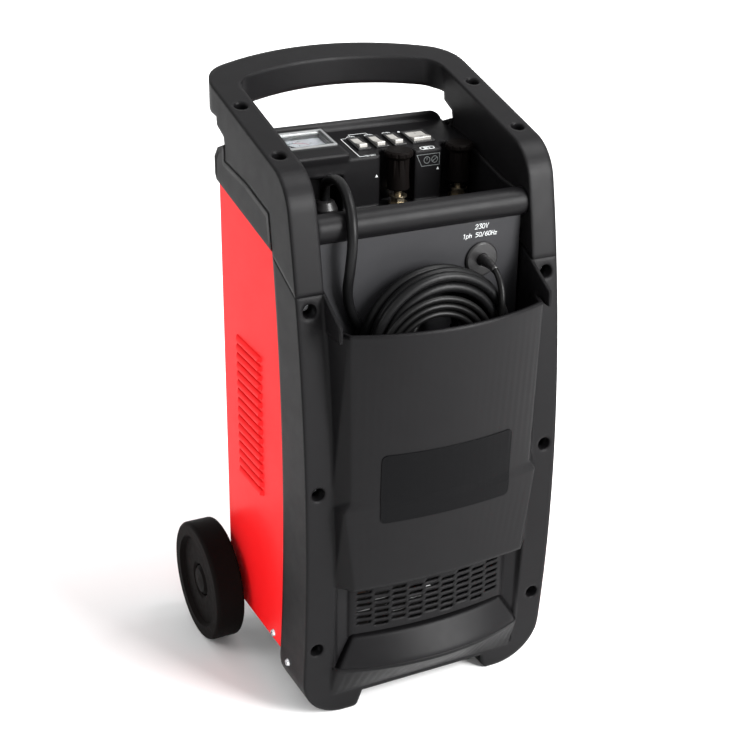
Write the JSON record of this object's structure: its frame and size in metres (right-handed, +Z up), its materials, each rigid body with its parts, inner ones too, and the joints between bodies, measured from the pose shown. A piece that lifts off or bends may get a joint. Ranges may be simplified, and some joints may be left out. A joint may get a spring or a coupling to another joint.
{
  "type": "wheeled battery charger",
  "caption": "Wheeled battery charger and starter: red steel casing, moulded front with lead bin and air inlet, one-piece handle, ammeter, rockers, clamps and mains lead.",
  "frame": {"origin": "on the floor under the middle of the whole, halfway between the front of the lead bin and the back of the grip", "axes": "+X to the right seen from the front, +Y to the rear where the wheels are, +Z up; the front faces -Y"},
  "size_m": [0.3586, 0.319, 0.6335],
  "materials": {
    "black_moulding": "satin, slightly warm charcoal",
    "red_paint": "gloss",
    "zinc_steel": "zinc plated",
    "wheel_rubber": "satin",
    "black_plastic": "satin",
    "grey_plastic": "gloss",
    "dial": "matt, printed",
    "needle": "matt",
    "window": "clear",
    "cream_plastic": "gloss",
    "brass": "turned",
    "lead_black": "satin",
    "nickel": "bright",
    "clamp_black": "dipped, satin",
    "clamp_red": "dipped, satin",
    "copper_winding": "varnished",
    "aluminium": "mill",
    "diode_steel": "plated"
  },
  "bodies": {
    "charger": {"front_cover": "black_moulding", "handle_frame": "black_moulding", "grip_cover": "black_moulding", "top_housing": "black_moulding", "bin_back_plate": "black_moulding", "casing": "red_paint", "base_plate": "zinc_steel", "axle_bracket": "zinc_steel", "axle": "zinc_steel", "axle_caps": "black_plastic", "ammeter_case": "grey_plastic", "ammeter_dial": "dial", "ammeter_window": "window", "switch_body_1": "black_plastic", "switch_body_2": "black_plastic", "switch_body_3": "black_plastic", "main_switch_body": "black_plastic", "terminal_stud_12": "brass", "terminal_stud_24": "brass", "negative_bushing": "black_plastic", "mains_gland": "black_plastic", "negative_lead_run": "lead_black", "negative_lead_coil": "lead_black", "negative_lead_tail": "lead_black", "positive_lead_lug_end": "lead_black", "positive_lead_coil": "lead_black", "positive_lead_tail": "lead_black", "mains_lead_run": "lead_black", "mains_lead_coil": "lead_black", "mains_lead_tail": "lead_black", "positive_lug": "brass", "mains_plug": "black_plastic", "plug_pins": "nickel", "black_clamp_base": "clamp_black", "black_clamp_spring": "zinc_steel", "red_clamp_base": "clamp_red", "red_clamp_spring": "zinc_steel", "transformer_core": "zinc_steel", "transformer_winding": "copper_winding", "rectifier_plate": "aluminium", "rectifier_diodes": "diode_steel", "thermal_breaker": "black_plastic", "rail_screws": "zinc_steel", "casing_screws": "zinc_steel"},
    "wheel_left": {"wheel_left": "wheel_rubber"},
    "wheel_right": {"wheel_right": "wheel_rubber"},
    "rocker_1": {"rocker_1": "cream_plastic"},
    "rocker_2": {"rocker_2": "cream_plastic"},
    "rocker_3": {"rocker_3": "cream_plastic"},
    "main_rocker": {"main_rocker": "cream_plastic"},
    "knob_12": {"terminal_knob_12": "black_plastic"},
    "knob_24": {"terminal_knob_24": "black_plastic"},
    "needle": {"ammeter_needle": "needle"},
    "black_jaw": {"black_clamp_jaw": "clamp_black"},
    "red_jaw": {"red_clamp_jaw": "clamp_red"}
  },
  "joints": [
    {"name": "wheel_left_spin", "type": "hinge", "parent": "charger", "child": "wheel_left", "pos_m": [-0.1633, 0.0925, 0.067], "axis": [1, 0, 0], "continuous": true},
    {"name": "wheel_right_spin", "type": "hinge", "parent": "charger", "child": "wheel_right", "pos_m": [0.1633, 0.0925, 0.067], "axis": [1, 0, 0], "continuous": true},
    {"name": "rocker_1_rock", "type": "hinge", "parent": "charger", "child": "rocker_1", "pos_m": [-0.0035, 0.05262, 0.55531], "axis": [1, 0, 0], "range_deg": [0, 18]},
    {"name": "rocker_2_rock", "type": "hinge", "parent": "charger", "child": "rocker_2", "pos_m": [0.0165, 0.05262, 0.55531], "axis": [1, 0, 0], "range_deg": [0, 18]},
    {"name": "rocker_3_rock", "type": "hinge", "parent": "charger", "child": "rocker_3", "pos_m": [0.0365, 0.05262, 0.55531], "axis": [1, 0, 0], "range_deg": [0, 18]},
    {"name": "main_rocker_rock", "type": "hinge", "parent": "charger", "child": "main_rocker", "pos_m": [0.063, 0.05262, 0.55531], "axis": [1, 0, 0], "range_deg": [0, 18]},
    {"name": "knob_12_turn", "type": "hinge", "parent": "charger", "child": "knob_12", "pos_m": [0.025, 0.02, 0.54], "axis": [0, 0, 1], "continuous": true},
    {"name": "knob_24_turn", "type": "hinge", "parent": "charger", "child": "knob_24", "pos_m": [0.0942, 0.02, 0.54], "axis": [0, 0, 1], "continuous": true},
    {"name": "needle_swing", "type": "hinge", "parent": "charger", "child": "needle", "pos_m": [-0.066, 0.05449, 0.55724], "axis": [0, -0.1191, 0.9929], "range_deg": [-84, 0], "stiffness_Nm_per_rad": 0.0002, "springref_deg": 5.73},
    {"name": "black_clamp_open", "type": "hinge", "parent": "charger", "child": "black_jaw", "pos_m": [0.003, -0.0966, 0.305], "axis": [0, -1, 0], "range_deg": [0, 24], "stiffness_Nm_per_rad": 2, "springref_deg": -28.65},
    {"name": "red_clamp_open", "type": "hinge", "parent": "charger", "child": "red_jaw", "pos_m": [0.003, -0.1221, 0.305], "axis": [0, -1, 0], "range_deg": [0, 24], "stiffness_Nm_per_rad": 2, "springref_deg": -28.65}
  ]
}
